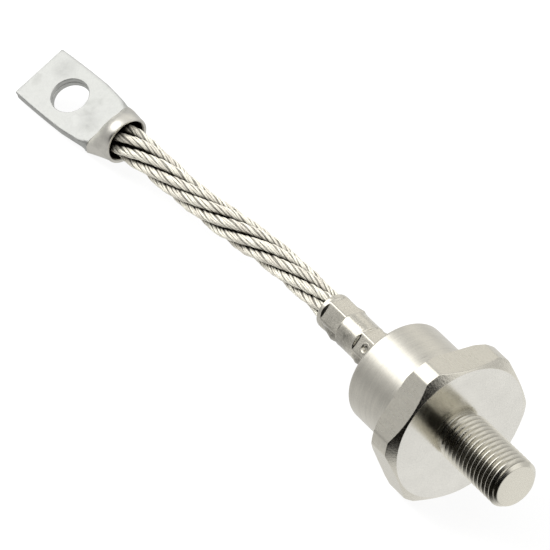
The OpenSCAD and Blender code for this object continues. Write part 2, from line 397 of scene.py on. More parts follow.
@dataclass(frozen=True)
class DrawnNickel(Finish):
    """Nickel over the drawn flats of a hexagon bar, faintly streaked along the bar."""

    colour: Triple = (0.80, 0.768, 0.675)
    rough: float = 0.3
    streak_depth: float = 3.0e-6

    def paint(self, bench: NodeBench, place: Socket) -> Feeds:
        """Lays out streaks along the stud and fine pits.

        Args:
            bench: The material's nodes.
            place: Socket of the coordinates along the stud.

        Returns:
            What feeds the shader.
        """
        streak = bench.noise(bench.stretched(place, (2.4, 2.4, 0.35)), 1.0, 4.0, 0.6)
        pits = bench.noise(place, 2.6, 3.0)
        tone = self.tone(bench, streak, (0.3, 0.9), (0.72, 1.03))
        return {
            "Base Color": bench.flecked(tone, pits, 0.06),
            "Metallic": 1.0,
            "Roughness": bench.span(streak, 0.3, 0.7, self.rough * 0.8, self.rough * 1.25),
            "Normal": bench.bump(streak, self.streak_depth, bench.bump(pits, self.streak_depth * 1.6)),
        }


@dataclass(frozen=True)
class SatinCase(Finish):
    """Nickel over drawn steel, brushed round the case."""

    colour: Triple = (0.80, 0.77, 0.685)
    rough: float = 0.34
    brush_depth: float = 3.0e-6

    def paint(self, bench: NodeBench, place: Socket) -> Feeds:
        """Lays out fine and broad brush marks round the stud, and specks.

        Args:
            bench: The material's nodes.
            place: Socket of the coordinates along the stud.

        Returns:
            What feeds the shader.
        """
        brush = bench.noise(bench.stretched(place, (0.28, 0.28, 9.0)), 1.0, 4.0, 0.65)
        broad = bench.noise(bench.stretched(place, (0.12, 0.12, 1.1)), 1.0, 2.0)
        speck = bench.noise(place, 3.2, 2.0)
        tone = self.tone(bench, bench.mixed(brush, broad, 0.6), (0.34, 0.88), (0.66, 1.05))
        return {
            "Base Color": bench.flecked(tone, speck, 0.045),
            "Metallic": 1.0,
            "Roughness": bench.span(brush, 0.3, 0.7, self.rough * 0.8, self.rough * 1.2),
            "Normal": bench.bump(speck, 3.0e-6, bench.bump(brush, self.brush_depth)),
        }


@dataclass(frozen=True)
class TinnedWire(Finish):
    """Tinned copper wires, with a warm painted shade in the gaps between them."""

    colour: Triple = (0.94, 0.885, 0.77)
    gap_shade_colour: Triple = (0.02, 0.013, 0.007)
    rough: float = 0.36
    metal: float = 0.3

    def paint(self, bench: NodeBench, place: Socket) -> Feeds:
        """Lays out each wire's own tone, clouded, and the painted shade in the gaps.

        Args:
            bench: The material's nodes.
            place: Socket of the coordinates along the stud.

        Returns:
            What feeds the shader.
        """
        names = ("unshaded", "wire_tone")
        unshaded, own = (bench.add("Attribute", attribute_name=name).outputs["Fac"] for name in names)
        mixed = bench.mixed(own, bench.noise(place, 0.8, 3.0), 0.6)
        tin = self.tone(bench, mixed, (0.2, 0.82), (0.8, 1.1))
        # The near-black gap colour is painted shade
        return {
            "Base Color": bench.blend(unshaded, (*self.gap_shade_colour, 1.0), tin),
            "Metallic": self.metal,
            "Roughness": bench.span(mixed, 0.2, 0.8, self.rough * 1.25, self.rough * 0.85),
            "Normal": bench.bump(bench.noise(place, 4.0, 2.0), 3.0e-6),
        }


@dataclass(frozen=True)
class MattTin(Finish):
    """Matt tin over pressed copper, clouded and darkened round some spots."""

    colour: Triple = (0.68, 0.685, 0.657)
    rough: float = 0.52
    dent_depth: float = 16.0e-6
    dark_spots: Sequence[DarkSpot] = ()

    def paint(self, bench: NodeBench, place: Socket) -> Feeds:
        """Lays out clouds, which also dent the surface, grain and dark spots.

        Args:
            bench: The material's nodes.
            place: Socket of the coordinates along the stud.

        Returns:
            What feeds the shader.
        """
        cloud = bench.noise(place, 0.28, 5.0, 0.6)
        grain = bench.noise(place, 5.0, 3.0)
        tone = self.tone(bench, cloud, (0.38, 0.84), (0.54, 1.03))
        tone = bench.spotted(tone, place, self.dark_spots, self.shade(0.72))
        return {
            "Base Color": bench.flecked(tone, grain, 0.03),
            "Metallic": 1.0,
            "Roughness": bench.span(cloud, 0.3, 0.7, self.rough * 0.8, self.rough * 1.2),
            "Normal": bench.bump(grain, 4.0e-6, bench.bump(cloud, self.dent_depth)),
        }


@dataclass(frozen=True)
class InnerMetal(Finish):
    """Plain metal of a piece inside the case."""

    rough: float = 0.35

    def paint(self, bench: NodeBench, place: Socket) -> Feeds:
        """Lays out a plain grain.

        Args:
            bench: The material's nodes.
            place: Socket of the coordinates along the stud.

        Returns:
            What feeds the shader.
        """
        grain = bench.noise(bench.stretched(place, (1.0, 1.0, 4.0)), 1.5, 3.0)
        return {
            "Base Color": self.tone(bench, grain, (0.3, 0.86), (0.7, 1.06)),
            "Metallic": 1.0,
            "Roughness": bench.span(grain, 0.3, 0.7, self.rough * 0.8, self.rough * 1.2),
            "Normal": bench.bump(grain, 2.0e-6),
        }


@dataclass(frozen=True)
class FusedGlass(Finish):
    """Grey-green sealing glass with small bubbles."""

    colour: Triple = (0.09, 0.13, 0.115)

    def paint(self, bench: NodeBench, place: Socket) -> Feeds:
        """Lays out the bubbles under a clear coat.

        Args:
            bench: The material's nodes.
            place: Socket of the coordinates along the stud.

        Returns:
            What feeds the shader.
        """
        bubbles = bench.noise(place, 2.2, 4.0)
        return {
            "Base Color": self.tone(bench, bubbles, (0.35, 0.7), (0.7, 1.5)),
            "Roughness": bench.span(bubbles, 0.3, 0.7, 0.06, 0.16),
            "Coat Weight": 0.4,
            "Coat Roughness": 0.05,
            "Normal": bench.bump(bubbles, 6.0e-6),
        }


@dataclass(frozen=True)
class Profile:
    """Open outline of a turned shape: radius and height, with rounded corners."""

    points: Sequence[Point]
    round_off: float
    steps: int = 4
    support: float = 0.06

    # Shares of a side that a rounding may take, and that it may take with its support
    MOST = 0.42
    MOST_HELD = 0.46

    def outline(self) -> list[Point]:
        """Rounds the corners.

        Returns:
            The points of the rounded outline, in order.
        """
        result = [self.points[0]]
        for before, point, after in zip(self.points, self.points[1:], self.points[2:]):
            here = Vector(point)
            back, ahead = Vector(before) - here, Vector(after) - here
            turn = back.angle(ahead)
            reach = min(self.round_off / math.tan(turn / 2), self.MOST * back.length, self.MOST * ahead.length)
            radius = reach * math.tan(turn / 2)
            middle = here + (back.normalized() + ahead.normalized()).normalized() * (radius / math.sin(turn / 2))
            start, stop = here + back.normalized() * reach, here + ahead.normalized() * reach
            sweep = (start - middle).angle_signed(stop - middle)
            if reach + self.support < self.MOST_HELD * back.length:
                result.append(tuple(here + back.normalized() * (reach + self.support)))
            for step in range(self.steps + 1):
                spot = start - middle
                spot.rotate(Matrix.Rotation(-sweep * step / self.steps, 2))
                result.append(tuple(middle + spot))
            if reach + self.support < self.MOST_HELD * ahead.length:
                result.append(tuple(here + ahead.normalized() * (reach + self.support)))
        return [*result, self.points[-1]]


class MeshShop:
    """Makes meshes from outlines and turns them into placed objects."""

    @staticmethod
    def written(bm: BMesh, name: str) -> Mesh:
        """Writes a mesh and frees what it was made in.

        Args:
            bm: What the mesh was made in.
            name: Name of the mesh.

        Returns:
            The new mesh.
        """
        mesh = bpy.data.meshes.new(name)
        bm.to_mesh(mesh)
        bm.free()
        return mesh

    @staticmethod
    def shown(name: str, data: Optional[bpy.types.ID]) -> Thing:
        """Makes an object of its data and puts it in the scene.

        Args:
            name: Name of the object.
            data: Its mesh, curve, camera or light.

        Returns:
            The new object.
        """
        thing = bpy.data.objects.new(name, data)
        bpy.context.scene.collection.objects.link(thing)
        return thing

    @staticmethod
    def settled(thing: Thing) -> Mesh:
        """Gives a new mesh of an object as its modifiers or bevels leave it."""
        return bpy.data.meshes.new_from_object(thing.evaluated_get(bpy.context.evaluated_depsgraph_get()))

    @staticmethod
    def smooth(mesh: Mesh, sharp: float) -> None:
        """Shades a mesh smooth, save for edges above an angle in degrees."""
        mesh.polygons.foreach_set("use_smooth", [True] * len(mesh.polygons))
        mesh.set_sharp_from_angle(angle=math.radians(sharp))

    @staticmethod
    def set_radius(vert: BMVert, radius: float, goal: float) -> None:
        """Moves a vertex from one radius about +Z to another."""
        vert.co.x *= goal / radius
        vert.co.y *= goal / radius

    @classmethod
    def swept(cls, outline: Sequence[Point], angle: float, steps: int, rise: float, closed: bool) -> Mesh:
        """Sweeps an outline about +Z.

        Args:
            outline: Radius and height of each point.
            angle: Angle of the sweep, in radians.
            steps: Steps in the sweep.
            rise: How far the sweep climbs in all.
            closed: Whether the last point joins the first.

        Returns:
            The mesh of the sweep.
        """
        bm = bmesh.new()
        chain = [bm.verts.new((radius, 0.0, height)) for radius, height in outline]
        edges = [bm.edges.new(pair) for pair in zip(chain, chain[1:] + chain[:1] if closed else chain[1:])]
        climb = (0, 0, rise / steps)
        around = {"cent": (0, 0, 0), "axis": (0, 0, 1), "angle": angle, "steps": steps, "use_merge": False}
        bmesh.ops.spin(bm, geom=chain + edges, dvec=climb, **around)
        return cls.written(bm, "sweep")

    @staticmethod
    def repeated(mesh: Mesh, places: Iterable[Matrix], merge: float) -> BMesh:
        """Sets copies of a mesh side by side and joins them.

        Args:
            mesh: Mesh to copy, removed afterwards.
            places: Matrix of each copy.
            merge: Distance within which vertices are joined.

        Returns:
            The joined mesh.
        """
        bm = bmesh.new()
        for place in places:
            done = len(bm.verts)
            bm.from_mesh(mesh)
            bm.verts.ensure_lookup_table()
            bmesh.ops.transform(bm, matrix=place, verts=bm.verts[done:])
        bpy.data.meshes.remove(mesh)
        bmesh.ops.remove_doubles(bm, verts=bm.verts, dist=merge)
        return bm

    @classmethod
    def spun(cls, outline: Sequence[Point], steps: int, closed: bool) -> BMesh:
        """Spins an outline a full turn about +Z, as six equal sweeps, in a multiple of six steps."""
        sixth = cls.swept(outline, math.tau / 6, steps // 6, 0.0, closed)
        return cls.repeated(sixth, [Matrix.Rotation(math.tau * turn / 6, 4, "Z") for turn in range(6)], 1e-4)

    @staticmethod
    def loop_edges(ring: Sequence[BMVert]) -> list[BMEdge]:
        """Gives the edges round a closed ring of vertices."""
        pairs = zip(ring, [*ring[1:], ring[0]])
        return [next(edge for edge in here.link_edges if edge.other_vert(here) is ahead) for here, ahead in pairs]

    @classmethod
    def drawn_on(cls, bm: BMesh, ring: Sequence[BMVert], spots: Sequence[Vector]) -> list[BMVert]:
        """Extrudes a ring to the next section of a tube.

        Args:
            bm: Mesh of the tube.
            ring: Vertices of the last section, in order.
            spots: Places of the next section, in the same order.

        Returns:
            The next section's vertices, in order.
        """
        made = bmesh.ops.extrude_edge_only(bm, edges=cls.loop_edges(ring))["geom"]
        fresh = {item for item in made if isinstance(item, BMVert)}
        following = []
        for vert, spot in zip(ring, spots):
            twin = next(edge.other_vert(vert) for edge in vert.link_edges if edge.other_vert(vert) in fresh)
            twin.co = spot
            following.append(twin)
        return following

    @classmethod
    def placed(cls, bm: BMesh, name: str, place: Matrix, sharp: float) -> Thing:
        """Makes an object of a mesh, with its place in its vertices.

        Args:
            bm: Mesh in millimetres, freed afterwards.
            name: Name of the object.
            place: Matrix to the row frame.
            sharp: Angle in degrees above which an edge stays sharp.

        Returns:
            The object, at the origin.
        """
        bmesh.ops.recalc_face_normals(bm, faces=bm.faces)
        bmesh.ops.transform(bm, matrix=place, verts=bm.verts)
        mesh = cls.written(bm, name)
        cls.smooth(mesh, sharp)
        return cls.shown(name, mesh)

    @classmethod
    def cut(cls, thing: Thing, cutter: Thing, sharp: float) -> None:
        """Cuts one object out of another and removes the cutter.

        Args:
            thing: Object that is cut.
            cutter: Object that it is cut by.
            sharp: Angle in degrees above which an edge stays sharp.
        """
        step = thing.modifiers.new("hole", "BOOLEAN")
        step.operation, step.solver, step.object = "DIFFERENCE", "EXACT", cutter
        solid = cls.settled(thing)
        thing.modifiers.clear()
        old, thing.data = thing.data, solid
        solid.name = old.name
        bpy.data.meshes.remove(old)
        bpy.data.objects.remove(cutter)
        cls.smooth(solid, sharp)


@dataclass
class StudBase:
    """Hexagon base with its pedestal and its threaded stud."""

    across_flats: float = 27.0
    height: float = 5.7
    corner_d: float = 29.7
    seat_d: float = 26.4
    seat_chamfer: float = 1.15
    shoulder_d: float = 28.4
    shoulder_chamfer: float = 0.5
    pedestal_d: float = 14.0
    pedestal_h: float = 2.5
    edge_r: float = 0.12
    flat_ease: float = 0.16
    fine_step: float = 0.09
    stud_d: float = 9.5
    stud_l: float = 16.0
    tip_d: float = 7.9
    tip_l: float = 0.8
    tip_in: float = 0.42
    tip_edge: float = 0.12
    pitch: float = 1.058
    thread_depth: float = 0.62
    relief_l: float = 0.75
    steps: int = 720
    thread_steps: int = 96
    sharp: float = 32.0
    # The turned finish paints shade into the thread's roots
    turned: TurnedNickel = TurnedNickel("turned_nickel", rough=0.26, root_shade=0.66)
    drawn: DrawnNickel = DrawnNickel("drawn_nickel")
    faced: TurnedNickel = TurnedNickel("faced_nickel", (0.80, 0.783, 0.725), 0.16, 0.3e-6, 5.0, 0.6e-6, 0.9)
    pitted: DrawnNickel = DrawnNickel("pitted_nickel", rough=0.26, streak_depth=12.0e-6)

    # Shares of the pitch and of the depth on the thread's rising side, from its root
    FLANK = ((0.0, 0.0), (0.09, 0.03), (0.16, 0.12), (0.40, 0.90), (0.44, 0.985))

    def flat_radius(self, angle: float) -> float:
        """Gives how far the hexagon's flats reach at an angle about the axis."""
        off = (angle + math.pi / 6) % (math.pi / 3) - math.pi / 6
        return self.across_flats / 2 / math.cos(off)

    def hexagon(self) -> BMesh:
        """Turns the base with its chamfers, then presses the six flats into it.

        Returns:
            The mesh of the base without its stud.
        """
        top = self.height + self.pedestal_h
        corners = [
            (0.0, 0.0),
            (self.seat_d / 2, 0.0),
            (self.corner_d / 2, self.seat_chamfer),
            (self.corner_d / 2, self.height - self.shoulder_chamfer),
            (self.shoulder_d / 2, self.height),
            (self.pedestal_d / 2, self.height),
            (self.pedestal_d / 2, top),
            (0.0, top),
        ]
        rough = Profile(corners, self.edge_r).outline()
        outline: list[Point] = []
        for first, second in zip(rough, rough[1:]):
            near, far = sorted((first[0], second[0]))
            wide = far > self.seat_d / 2 - 0.3 and near > 10.0
            parts = max(1, round(math.dist(first, second) / self.fine_step)) if wide else 1
            for part in range(parts):
                outline.append(tuple(a + (b - a) * part / parts for a, b in zip(first, second)))
        outline.append(rough[-1])
        bm = MeshShop.spun(outline, self.steps, closed=False)
        for vert in bm.verts:
            radius = math.hypot(vert.co.x, vert.co.y)
            if radius > self.seat_d / 2 - 1.0 and vert.co.z <= self.height + 1e-6:
                flat = self.flat_radius(math.atan2(vert.co.y, vert.co.x))
                MeshShop.set_radius(vert, radius, soft_min(radius, flat, self.flat_ease))
        return bm

    def thread_outline(self) -> list[Point]:
        """Gives one pitch of the thread, from root to root, as radius and height.

        Returns:
            The outline's points, in order.
        """
        falling = [(1.0 - along, rise) for along, rise in reversed(self.FLANK)]
        root = self.stud_d / 2 - self.thread_depth
        sides = [*self.FLANK, (0.5, 1.0), *falling]
        return [(root + self.thread_depth * rise, along * self.pitch) for along, rise in sides]

    def stud_limit(self, height: float) -> float:
        """Gives how far the stud may reach at a height: the cone at its tip and the relief at its root.

        Args:
            height: Height along the axis, which is below 0 on the stud.

        Returns:
            The largest radius.
        """
        cone = self.tip_d / 2 + (height + self.stud_l) * (self.stud_d - self.tip_d) / 2 / self.tip_l
        eased = smooth_step(self.relief_l * 0.7, self.relief_l * 1.6, -height)
        return min(cone, self.stud_d / 2 + self.thread_depth * (eased - 0.85))

    def tip_round(self, bm: BMesh, rim: list[BMEdge]) -> list[BMEdge]:
        """Rounds the cone at the tip over to the flat end.

        Args:
            bm: Mesh of the stud.
            rim: Edges round its trimmed end.

        Returns:
            The edges round the flat end.
        """
        steps = 6
        for step in range(1, steps + 1):
            turn = math.pi / 2 * step / steps
            made = bmesh.ops.extrude_edge_only(bm, edges=rim)["geom"]
            verts = [item for item in made if isinstance(item, BMVert)]
            edges = [item for item in made if isinstance(item, BMEdge)]
            rim = [edge for edge in edges if all(vert in verts for vert in edge.verts)]
            radius = self.tip_d / 2 + self.tip_edge - self.tip_in * (1.0 - math.cos(turn))
            height = -self.stud_l + self.tip_edge * (1 - math.sin(turn))
            for vert in verts:
                angle = math.atan2(vert.co.y, vert.co.x)
                vert.co = (radius * math.cos(angle), radius * math.sin(angle), height)
        return rim

    def stud(self) -> BMesh:
        """Cuts the thread turn by turn as one helix, then trims its ends.

        Returns:
            The mesh of the stud.
        """
        turns = math.ceil(self.stud_l / self.pitch) + 4
        turn = MeshShop.swept(self.thread_outline(), math.tau, self.thread_steps, self.pitch, closed=False)
        low = -self.stud_l - 2 * self.pitch
        places = [Matrix.Translation((0, 0, low + self.pitch * number)) for number in range(turns)]
        bm = MeshShop.repeated(turn, places, 1e-3)
        for height, way in ((self.tip_edge - self.stud_l, -1), (0.3, 1)):
            geom = [*bm.verts, *bm.edges, *bm.faces]
            plane = {"plane_co": (0, 0, height), "plane_no": (0, 0, way), "clear_outer": True}
            cut = bmesh.ops.bisect_plane(bm, geom=geom, dist=1e-5, **plane)
            rim = [item for item in cut["geom_cut"] if isinstance(item, BMEdge)]
            if way < 0:
                rim = self.tip_round(bm, rim)
            bmesh.ops.holes_fill(bm, edges=rim, sides=0)
        for vert in bm.verts:
            radius, limit = math.hypot(vert.co.x, vert.co.y), self.stud_limit(vert.co.z)
            if radius > limit:
                MeshShop.set_radius(vert, radius, limit)
        return bm

    def build(self, axis: StudAxis) -> Thing:
        """Builds and dresses the base.

        Args:
            axis: The stud's axis.

        Returns:
            The base's object.
        """
        bm = self.hexagon()
        stud = MeshShop.written(self.stud(), "stud")
        bm.from_mesh(stud)
        bpy.data.meshes.remove(stud)
        thing = MeshShop.placed(bm, "threaded_base", axis.place(), self.sharp)
        for finish in (self.turned, self.drawn, self.faced, self.pitted):
            thing.data.materials.append(finish.material(axis))
        inward = axis.place().inverted()
        back = inward.to_3x3().normalized()
        for face in thing.data.polygons:
            way, middle = back @ face.normal, inward @ face.center
            if way.z < -0.99 and abs(middle.z) < 0.02:
                face.material_index = BaseFace.FACED.value
            elif math.hypot(middle.x, middle.y) > self.seat_d / 2 - 0.1 and middle.z <= self.height:
                face.material_index = (BaseFace.PITTED if way.z < -0.3 else BaseFace.DRAWN).value
        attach(thing, "root")
        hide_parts("stud_base")
        return thing


@dataclass
class CaseCap:
    """Welded cap with a rounded rim and the stepped hole for the glass."""

    diameter: float = 20.2
    foot: float = 5.7
    height: float = 13.3
    wall: float = 1.2
    roof: float = 1.2
    rim_round: float = 0.6
    glass_d: float = 12.0
    ledge_w: float = 0.6
    ledge_h: float = 0.4
    steps: int = 192
    sharp: float = 32.0
    finish: SatinCase = SatinCase("satin_case")

    def build(self, axis: StudAxis) -> Thing:
        """Builds and dresses the cap.

        Args:
            axis: The stud's axis.

        Returns:
            The cap's object.
        """
        top = self.foot + self.height
        under = top - self.roof
        outer, inner = self.diameter / 2, self.diameter / 2 - self.wall
        ledge, hole = self.glass_d / 2 - self.ledge_w, self.glass_d / 2
        rim = Profile([(outer, self.foot), (outer, top), (hole, top)], self.rim_round, 10).outline()
        inside = [(hole, under + self.ledge_h), (ledge, under + self.ledge_h), (ledge, under), (inner, under)]
        bm = MeshShop.spun([*rim, *inside, (inner, self.foot)], self.steps, closed=True)
        thing = MeshShop.placed(bm, "case_shell", axis.place(), self.sharp)
        thing.data.materials.append(self.finish.material(axis))
        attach(thing, "root")
        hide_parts("case_cap")
        return thing


@dataclass
class Ferrule:
    """Crimp sleeve with two hexagonal crimps, their fins and a staking dimple."""

    foot: float = 20.3
    length: float = 17.7
    diameter: float = 7.1
    bore: float = 5.5
    lip_d: float = 6.95
    lip_l: float = 1.3
    lip_r: float = 0.32
    crimp_af: float = 6.3
    crimp_l: float = 4.4
    waist_l: float = 5.2
    turn: float = -30.0
    fin_d: float = 7.75
    fin_width: float = 1.1
    fin_peak: float = 0.75
    fin_end: float = 1.15
    dimple_d: float = 1.4
    dimple_depth: float = 0.5
    dimple_ring: float = 0.04
    ease: float = 0.28
    burr: float = 0.05
    burr_width: float = 0.16
    corner_cut: float = 0.03
    corner_ease: float = 0.2
    outer_tail: float = 1.8
    foot_edge: float = 0.08
    row_step: float = 0.1
    steps: int = 240
    sharp: float = 38.0
    finish: TurnedNickel = TurnedNickel(
        "sleeve_nickel",
        (0.79, 0.755, 0.66),
        0.25,
        1.0e-6,
        3.0,
        14.0e-6,
        fleck=0.15,
        # Dark spots: some mottling, mostly painted shade on the sleeve's lower side and in the dimple
        dark_spots=(
            ((-1.6, -3.1, 34.6), 3.1),
            ((-1.7, -3.1, 31.6), 2.8),
            ((0.6, -3.4, 29.6), 3.0),
            ((-1.4, -3.2, 25.0), 2.6),
            ((3.2, -5.5, 34.5), 4.1),
            ((1.76, -2.45, 24.9), 1.0),
        ),
    )

    def crimps(self) -> list[Point]:
        """Gives the start and end of the outer and the inner crimp along the axis.

        Returns:
            The two pairs, the outer crimp's first.
        """
        outer = self.foot + self.length - self.lip_l - self.crimp_l
        inner = outer - self.waist_l - self.crimp_l
        return [(outer, outer + self.crimp_l), (inner, inner + self.crimp_l)]

    def fin(self, angle: float, place: float) -> float:
        """Gives how far the two fins beside a crimp reach.

        Args:
            angle: Angle from the crimps' own turn, in radians.
            place: Share of the crimp's length, counted towards the waist.

        Returns:
            The radius, or 0 away from the fins.
        """
        across = min(abs(wrapped(angle - side)) for side in (math.pi / 2, -math.pi / 2)) * self.diameter / 2
        if not 0.0 < place < self.fin_end or across >= self.fin_width:
            return 0.0
        rise = place / self.fin_peak
        if place >= self.fin_peak:
            rise = ((self.fin_end - place) / (self.fin_end - self.fin_peak)) ** 0.6
        return self.crimp_af / 2 + (self.fin_d - self.crimp_af) / 2 * rise * (1.0 - (across / self.fin_width) ** 2)

    def dimple(self, angle: float, along: float) -> float:
        """Gives how far the staking dimple or its raised ring moves the wall.

        Args:
            angle: Angle from the crimps' own turn, in radians.
            along: Place along the axis.

        Returns:
            The change of the radius.
        """
        away = wrapped(angle + math.pi / 6) * self.crimp_af / 2
        far = math.hypot(away, along - sum(self.crimps()[1]) / 2) / (self.dimple_d / 2)
        if far < 1.0:
            return -self.dimple_depth * (1.0 - smooth_step(0.25, 1.0, far))
        return self.dimple_ring * math.sin((far - 1.0) / 0.5 * math.pi) if far < 1.5 else 0.0

    def radius(self, angle: float, along: float) -> float:
        """Gives the outside radius at an angle and a place along the axis.

        Args:
            angle: Angle about the axis, in radians.
            along: Place along the axis.

        Returns:
            The radius.
        """
        lip = self.foot + self.length - self.lip_l
        result = self.diameter / 2 + (self.lip_d - self.diameter) / 2 * smooth_step(lip - self.ease, lip, along)
        own = angle - math.radians(self.turn)
        flat = self.crimp_af / 2 / math.cos((own + math.pi / 3) % (math.pi / 3) - math.pi / 6)
        corner = self.crimp_af / 2 / math.cos(math.pi / 6) - self.corner_cut
        flat = soft_min(flat, corner, self.corner_ease)
        for (start, stop), is_inner in zip(self.crimps(), (False, True)):
            tail = self.ease * (1.0 if is_inner else self.outer_tail)
            share = smooth_step(start - self.ease, start + self.ease * 0.3, along)
            share *= 1.0 - smooth_step(stop - self.ease * 0.3, stop + tail, along)
            result += (flat - result) * share
            for edge in (start - self.ease, stop + self.ease):
                result += self.burr * math.exp(-(((along - edge) / self.burr_width) ** 2))
            place = (along - start) / (stop - start)
            result = max(result, self.fin(own, place if is_inner else 1.0 - place))
        return result + self.dimple(own, along)

    def build(self, axis: StudAxis) -> Thing:
        """Builds and dresses the sleeve.

        Args:
            axis: The stud's axis.

        Returns:
            The sleeve's object.
        """
        mouth, edge, step = self.foot + self.length, self.foot_edge, self.row_step
        outer, inner = self.diameter / 2, self.bore / 2
        wall = [(outer, self.foot + edge + step * number) for number in range(int((self.length - 0.5) / step))]
        lip = [(outer, mouth - 0.5), (outer, mouth), (inner, mouth), (inner, mouth - 1.0)]
        outline = [(inner, self.foot), (outer - edge, self.foot), *wall, *Profile(lip, self.lip_r, 6).outline()]
        bm = MeshShop.spun(outline, self.steps, closed=True)
        for vert in bm.verts:
            radius = math.hypot(vert.co.x, vert.co.y)
            if radius > (outer + inner) / 2 - 0.1:
                goal = self.radius(math.atan2(vert.co.y, vert.co.x), vert.co.z)
                MeshShop.set_radius(vert, radius, goal * radius / outer)
        thing = MeshShop.placed(bm, "crimped_sleeve", axis.place(), self.sharp)
        thing.data.materials.append(self.finish.material(axis))
        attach(thing, "root")
        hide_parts("ferrule")
        return thing


@dataclass
class Lug:
    """Tube pressed flat at one end into a palm with a hole."""

    seat: LugSeat = LugSeat()
    mouth_d: float = 9.4
    wall: float = 0.85
    mouth_l: float = 0.6
    barrel_l: float = 5.6
    crease_w: float = 10.9
    crease_t: float = 3.3
    taper_l: float = 6.5
    palm_w: float = 12.1
    palm_l: float = 19.0
    palm_t: float = 2.1
    face_r: float = 0.3
    corner_r: float = 1.1
    corner_l: float = 2.0
    fold_swell: float = 0.25
    fold_share: float = 0.4
    groove: float = 0.12
    bulge: float = 1.5
    hole_d: float = 7.1
    hole_to_tip: float = 8.8
    hole_edge: float = 0.12
    layer_step: float = 0.1
    hole_steps: int = 132
    bow_wide: float = 0.15
    bow_at: float = 10.5
    bow_fall: Point = (0.0025, 0.0055)
    sharp: float = 24.0
    dark_spots: Sequence[Triple] = ((20.8, 3.2, 2.8), (9.2, -1.5, 3.0))
    # Dark spots on the barrel: partly a dark patch, partly painted shade on its top towards the crease
    tube_stains: Sequence[Triple] = ((2.8, 4.3, 4.6), (4.2, 4.6, 4.4), (1.6, 4.5, 4.0))
    finish: MattTin = MattTin("matt_tin")
    # The tube's tin is lighter than the palm's, partly a painted highlight on the barrel
    tube_finish: MattTin = MattTin("tube_tin", (0.88, 0.855, 0.78), 0.36, 6.0e-6)
    # Near-black painted shade inside the lug's bore
    bore_shade_finish: MattTin = MattTin("painted_bore_shade", (0.035, 0.028, 0.02), 0.6, 6.0e-6)

    # Steps and share of a half turn that each stretch of a section takes, from the face to the sole
    STRETCHES = ((16, 62.0), (5, 72.0), (4, 92.0), (9, 128.0), (14, 180.0))
    # Inset, or widening of the bore, and place of the sections that round the mouth's two edges
    MOUTH_OUT = ((0.12, 0.02), (0.04, 0.06), (0.0, 0.18))
    MOUTH_IN = ((0.3, 0.03), (0.12, 0.3))
    # Inset and distance from the end of the sections that round the tip
    TIP = ((0.05, 0.08), (0.2, 0.0))
    # Distances past the crease at which the palm has a section
    PAST = (0.12, 0.3, 0.6, 1.0, 1.4, 2.0, 3.0, 4.0, 5.2, 6.5, 8.0, 10.0, 12.0, 14.0, 16.0, 18.0, 18.8)

    @staticmethod
    def mirrored(half: Sequence[Point], along: float) -> list[Vector]:
        """Completes a half section, of heights and widths from face to sole, with its other side."""
        left = [Vector((up, side, along)) for up, side in half]
        return left + [Vector((up, -side, along)) for up, side in half[-2:0:-1]]

    def ring(self, radius: float, along: float) -> list[Vector]:
        """Gives a round section with the same steps as a pressed one.

        Args:
            radius: Radius of the section.
            along: Place along the lug.

        Returns:
            The section's points, in order.
        """
        half, start = [(radius, 0.0)], 0.0
        for steps, stop in self.STRETCHES:
            for step in range(1, steps + 1):
                angle = math.radians(start + (stop - start) * step / steps)
                half.append((radius * math.cos(angle), radius * math.sin(angle)))
            start = stop
        return self.mirrored(half, along)

    def pressed(self, wide: float, thick: float, along: float, edge: float, top: float = 0.0) -> list[Vector]:
        """Gives a section with a flat face above and a round fold on each side.

        Args:
            wide: Width of the face over its rounded edges.
            thick: Depth of the section.
            along: Place along the lug.
            edge: Rounding of the face's edges.
            top: Height of the face.

        Returns:
            The section's points, in order.
        """
        fold = self.fold_share * thick
        edge_at = Vector((top - edge, wide / 2 - edge))
        fold_at = Vector((top - thick + fold, wide / 2 + self.fold_swell - fold))
        gap = fold_at - edge_at
        side = math.pi / 2 - math.atan2(gap.y, -gap.x) + math.asin((fold - edge) / gap.length)

        def on_arc(middle: Vector, radius: float, way: float) -> Vector:
            """Gives a point of the edge's or the fold's rounding."""
            return middle + Vector((math.cos(way), math.sin(way))) * radius

        def spot(stretch: int, share: float) -> Vector:
            """Gives a point a share of the way along a stretch.

            Args:
                stretch: Number of the stretch, from the face to the sole.
                share: Share of the way.

            Returns:
                The point's height and width.
            """
            if stretch == 0:
                return Vector((top, 0.0)).lerp(on_arc(edge_at, edge, 0.0), share)
            if stretch == 1:
                return on_arc(edge_at, edge, side * share)
            if stretch == 2:
                return on_arc(edge_at, edge, side).lerp(on_arc(fold_at, fold, side), share)
            if stretch == 3:
                return on_arc(fold_at, fold, side + (math.pi - side) * share)
            return on_arc(fold_at, fold, math.pi).lerp(Vector((top - thick, 0.0)), share)

        half = [(top, 0.0)]
        for stretch, (steps, _) in enumerate(self.STRETCHES):
            half += [tuple(spot(stretch, step / steps)) for step in range(1, steps + 1)]
        return self.mirrored(half, along)

    def bow(self, past: float) -> float:
        """Gives how much wider the palm's bowed sides are at a distance past the crease."""
        off = past - self.bow_at
        return self.bow_wide - self.bow_fall[0 if off < 0.0 else 1] * off * off

    def edge_round(self, past: float) -> float:
        """Gives the rounding of the face's edges at a distance past the crease."""
        return self.corner_r + (self.face_r - self.corner_r) * smooth_step(0.0, self.corner_l, past)

